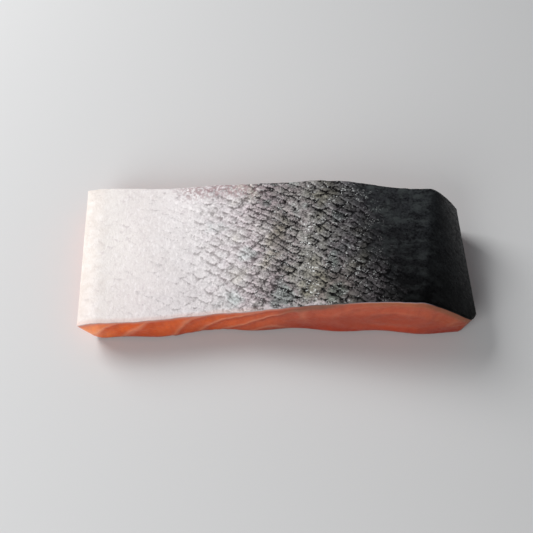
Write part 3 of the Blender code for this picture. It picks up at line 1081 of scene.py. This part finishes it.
# Streaks, the darker early side of each flake, and the pale lines of fat between them. A pair
# holds the strength on the belly and on the plain loin. The loin of the underside is less plain.
LOIN = (("side_x", 0.0, 22.0),)
LOIN_PLAINNESS = (0.2, 1.0)
STREAKS = Noise(330.0, detail=3.0, roughness=0.6, stretch=(1.0, 1.0, 0.35), shows=(0.35, 0.7, 0.0, 0.4))
STREAK_TINT = (0.66, 0.42, 0.40)
EARLY_SIDE = (("step", 0.75, 0.05),)
EARLY_STRENGTH = (0.6, 0.1)
EARLY_TINT = (0.68, 0.40, 0.36)
FAT_SHEET = (("from_middle", 0.33, 0.50),)
FAT_SHEET_STRENGTH = (0.30, 0.06)
FAT_SHEET_COLOUR = (0.90, 0.50, 0.36)

# Coats of the flesh, with their climbs in millimetres: brown muscle under the lateral line, which
# slants to the belly as it goes down, red and olive flesh next to the skin, the deep red middle of
# the loin, the fat under the skin, thick at the belly and thin on the loin, and the brown shoulder.
SLANT = 1.2
FAT_COLOUR = (0.62, 0.38, 0.34)
FLESH_COATS = (
    Coat(
        (0.17, 0.095, 0.065),
        (("slanted", 6.0, 16.0), ("slanted", 38.0, 24.0), ("depth", 6.5, 2.5)),
        strength=0.75,
    ),
    Coat((0.62, 0.105, 0.06), (("depth", 3.2, 1.2), ("side_x", 24.0, 0.0)), strength=0.55),
    Coat((0.34, 0.15, 0.055), (("depth", 5.0, 2.0), ("side_x", 30.0, 44.0)), strength=0.45),
    Coat((0.36, 0.055, 0.028), (*LOIN, ("depth", 9.0, 13.0), ("depth", 23.0, 18.0)), strength=0.75),
    Coat(FAT_COLOUR, (("depth", 2.9, 0.8), ("side_x", 16.0, 2.0)), strength=0.5),
    Coat(
        FAT_COLOUR,
        (("depth", 1.7, 0.9), ("side_x", 16.0, 34.0), ("side_x", 64.0, 56.0)),
        strength=0.45,
    ),
    Coat((0.17, 0.055, 0.03), (("depth", 5.5, 1.5), ("side_x", 54.0, 66.0)), strength=0.7),
)

# Tints of the whole flesh, painted shade with some colour on the low part of the walls on the belly
# and on the loin, a tint of the belly end, and painted shade on the foot, whose strengths are those
# on the belly and on the loin. In millimetres.
WARM_TINT = (1.0, 0.97, 0.86)
LOW_SHADE_TINTS = ((0.80, 0.72, 0.68), (0.78, 0.40, 0.24))
SHADED_LOW_WALL = (("z", 8.5, 2.5), ("side_x", -72.0, -58.0))
BELLY_END = Coat((0.80, 0.74, 1.0), (("y", -31.0, -25.0), ("side_x", -64.0, -71.0)), blend="MULTIPLY")
FOOT_SHADE = (0.60, 0.48, 0.44)
SHADED_FOOT = (("z", 2.5, 0.3),)
FOOT_SHADE_STRENGTH = (0.95, 0.60)

FLESH_FINISH = {
    "roughness": Noise(500.0, shows=(0.3, 0.7, 0.3, 0.48)),
    "bumps": Noise(1100.0, roughness=0.6),
    "bump_height": 0.00018,
    "bump_strength": 0.5,
    "constants": {
        "Specular IOR Level": 0.4,
        "Subsurface Weight": 0.15,
        "Subsurface Radius": (1.0, 0.35, 0.2),
        "Subsurface Scale": 0.003,
    },
}


def add_flesh_fields(graph, wobble):
    """Fields of the flesh: where it lies, and how far it is through a flake."""
    fields = graph.fields
    place = graph.nodes.new("ShaderNodeSeparateXYZ")
    graph.feed(place.inputs[0], graph.position())
    fields["y"] = graph.math("DIVIDE", place.outputs["Y"], MM)
    fields["z"] = graph.math("DIVIDE", place.outputs["Z"], MM)
    fields["slanted"] = graph.plus(fields["side_x"], fields["depth"], SLANT)
    fields["step"] = graph.math("FRACT", graph.plus(fields["phase"], wobble, PHASE_WOBBLE))
    fields["from_middle"] = graph.math("ABSOLUTE", graph.minus(fields["step"], 0.5))
    fields["wall"] = graph.minus(1.0, fields["under"])
    fields["loin"] = graph.patch(LOIN)


def flake_colour(graph, wobble):
    """Orange flakes that redden to the loin, each with a darker early side, parted by pale fat."""
    fields = graph.fields
    plain = graph.product(fields["loin"], graph.between(LOIN_PLAINNESS, fields["wall"]))
    across = graph.math("DIVIDE", graph.minus(fields["side_x"], FLESH_START_X), SLAB_LENGTH)
    colour = graph.ramp(graph.plus(across, wobble, TONE_WOBBLE), FLESH_TONES)
    colour = graph.tint(colour, STREAK_TINT, graph.specks(STREAKS))
    early = (graph.patch(EARLY_SIDE), graph.between(EARLY_STRENGTH, plain))
    colour = graph.tint(colour, EARLY_TINT, *early)
    fat = (graph.patch(FAT_SHEET), graph.between(FAT_SHEET_STRENGTH, plain))
    return graph.cover(colour, FAT_SHEET_COLOUR, *fat)


def tint_flesh(graph, colour):
    """Warms the flesh, and paints shade on the walls down to their foot, where they face the floor."""
    wall, loin = graph.fields["wall"], graph.fields["loin"]
    colour = graph.tint(colour, WARM_TINT, 1.0)
    colour = graph.tint(colour, graph.mix(loin, *LOW_SHADE_TINTS), graph.patch(SHADED_LOW_WALL), wall)
    colour = graph.lay(colour, BELLY_END)
    return graph.tint(colour, FOOT_SHADE, graph.patch(SHADED_FOOT), graph.between(FOOT_SHADE_STRENGTH, loin), wall)


def flesh_material():
    graph = Graph("raw_salmon_flesh", ("side_x", "depth", "phase", "under"))
    wobble = graph.waver(FLESH_WOBBLE)
    add_flesh_fields(graph, wobble)
    colour = flake_colour(graph, wobble)
    colour = graph.lay(colour, *FLESH_COATS)
    colour = tint_flesh(graph, colour)
    return graph.finish(colour, **FLESH_FINISH)


# Camera, as fitted to the photograph: the spot on the slab that it looks at is in plan coordinates.
CAMERA_ELEVATION = 60.0
CAMERA_DISTANCE = 350.0
CAMERA_TARGET = (0.0, 0.0, 10.0)
CAMERA_LENS = 57.4
CAMERA_SENSOR = 36.0
CAMERA_CLIP_START = 0.01

# Soft lights, each as its place and its size in metres and its power in watts, and a dim sky.
LIGHTS = {
    "key": ((-0.60, 0.40, 0.52), 0.45, 7.6),
    "fill": ((-0.45, -0.65, 0.45), 0.6, 4.8),
}
SKY_COLOUR = (0.93, 0.96, 1.0)
SKY_STRENGTH = 0.2

# The pale floor lies a hair below the foot, so that the two don't share a plane. In metres.
FLOOR_HALF = 1.5
FLOOR_Z = -0.00005
FLOOR_LOOKS = {"Base Color": (0.62, 0.62, 0.62, 1.0), "Roughness": 0.9, "Specular IOR Level": 0.1}


def add_camera(shift):
    angle = math.radians(CAMERA_ELEVATION)
    target = (np.array(CAMERA_TARGET) + shift) * MM
    back = Vector((0.0, -math.cos(angle), math.sin(angle)))
    camera = link_object("camera", bpy.data.cameras.new("camera"))
    camera.data.lens = CAMERA_LENS
    camera.data.sensor_width = CAMERA_SENSOR
    camera.data.clip_start = CAMERA_CLIP_START
    camera.location = Vector(target) + back * CAMERA_DISTANCE * MM
    camera.rotation_euler = back.to_track_quat("Z", "Y").to_euler()
    bpy.context.scene.camera = camera


def add_light(name, place, size, watts):
    """A soft square light that points at the slab."""
    data = bpy.data.lights.new(name, "AREA")
    data.shape = "SQUARE"
    data.size = size
    data.energy = watts
    light = link_object(name, data)
    light.location = place
    light.rotation_euler = Vector(place).to_track_quat("Z", "Y").to_euler()


def add_sky():
    world = bpy.data.worlds.new("studio")
    world.use_nodes = True
    background = world.node_tree.nodes["Background"]
    background.inputs["Color"].default_value = (*SKY_COLOUR, 1.0)
    background.inputs["Strength"].default_value = SKY_STRENGTH
    bpy.context.scene.world = world
    bpy.context.scene.view_settings.view_transform = "Standard"


def add_floor():
    mesh = bpy.data.meshes.new("floor")
    signs = ((-1, -1), (1, -1), (1, 1), (-1, 1))
    mesh.from_pydata([(x * FLOOR_HALF, y * FLOOR_HALF, 0.0) for x, y in signs], [], [(0, 1, 2, 3)])
    floor = link_object("floor", mesh)
    floor.location.z = FLOOR_Z
    graph = Graph("pale_floor")
    graph.fix(FLOOR_LOOKS)
    mesh.materials.append(graph.material)


def main():
    skin, flesh = make_skin(), make_flesh()
    shift = centring_shift((skin, flesh))
    add_camera(shift)
    add_sky()
    for name, light in LIGHTS.items():
        add_light(name, *light)
    add_floor()
    for name, shell, material in (("skin", skin, skin_material()), ("flesh", flesh, flesh_material())):
        piece = make_object(name, shell, shift)
        piece.data.materials.append(material)
        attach(piece, "root")
        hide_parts("fillet")


main()
